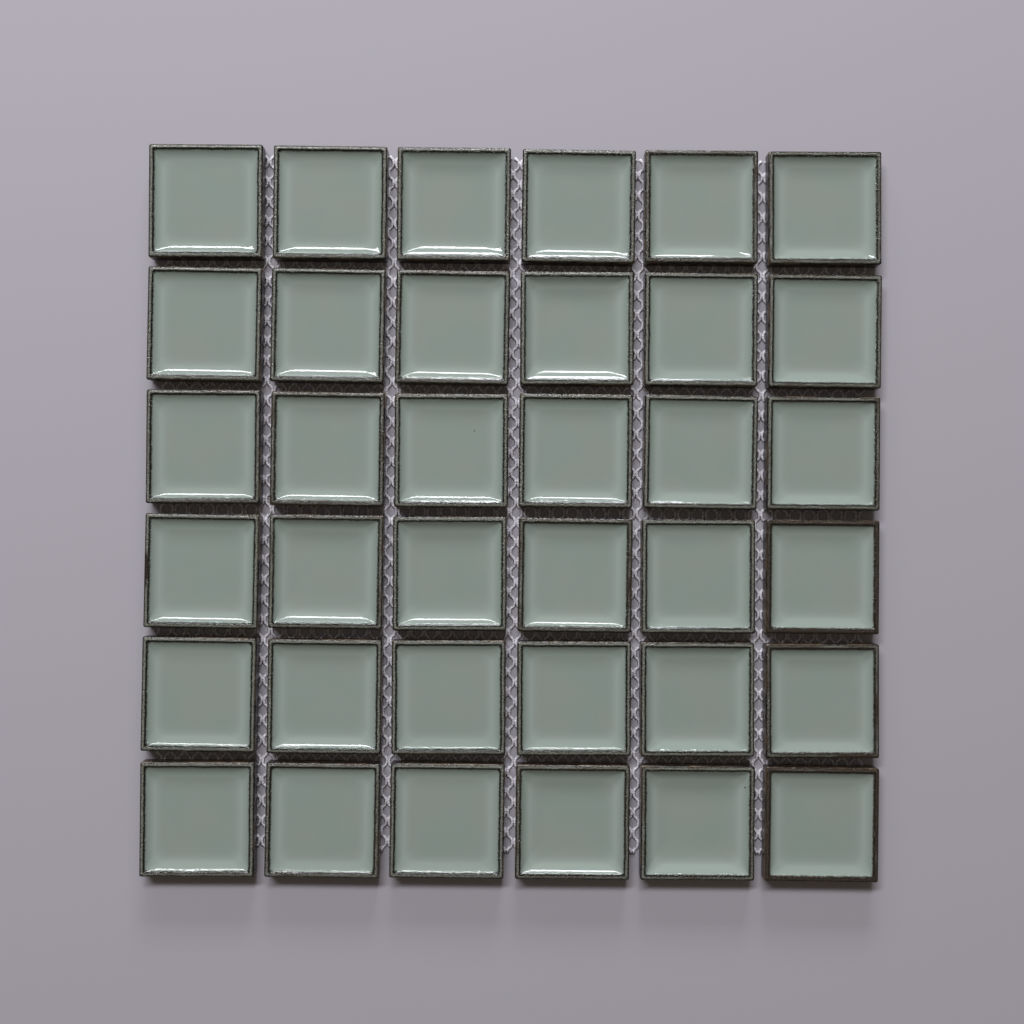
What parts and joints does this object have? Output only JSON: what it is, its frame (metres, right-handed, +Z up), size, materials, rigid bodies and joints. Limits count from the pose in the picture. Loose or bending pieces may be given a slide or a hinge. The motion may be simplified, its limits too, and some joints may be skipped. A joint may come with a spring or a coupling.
{
  "type": "mosaic tile sheet",
  "caption": "Square mosaic sheet of dished grey-green glazed ceramic tiles with raised brown rims, joined by a white knitted net on the back.",
  "frame": {"origin": "middle of the sheet's underside, on the surface it lies on", "axes": "+Z up out of the glazed faces; +X along the rows, column 1 at -X; +Y up the columns, row 1 at +Y"},
  "size_m": [0.2916, 0.2897, 0.0068],
  "materials": {
    "tile": "glossy grey-green glaze, brown where it breaks over the rim, brown body on the sides",
    "net": "matt white knitted polyester"
  },
  "bodies": {
    "root": {"backing_net": "net", "tile_r1_c1": "tile", "tile_r1_c2": "tile", "tile_r1_c3": "tile", "tile_r1_c4": "tile", "tile_r1_c5": "tile", "tile_r1_c6": "tile", "tile_r2_c1": "tile", "tile_r2_c2": "tile", "tile_r2_c3": "tile", "tile_r2_c4": "tile", "tile_r2_c5": "tile", "tile_r2_c6": "tile", "tile_r3_c1": "tile", "tile_r3_c2": "tile", "tile_r3_c3": "tile", "tile_r3_c4": "tile", "tile_r3_c5": "tile", "tile_r3_c6": "tile", "tile_r4_c1": "tile", "tile_r4_c2": "tile", "tile_r4_c3": "tile", "tile_r4_c4": "tile", "tile_r4_c5": "tile", "tile_r4_c6": "tile", "tile_r5_c1": "tile", "tile_r5_c2": "tile", "tile_r5_c3": "tile", "tile_r5_c4": "tile", "tile_r5_c5": "tile", "tile_r5_c6": "tile", "tile_r6_c1": "tile", "tile_r6_c2": "tile", "tile_r6_c3": "tile", "tile_r6_c4": "tile", "tile_r6_c5": "tile", "tile_r6_c6": "tile"}
  },
  "joints": []
}
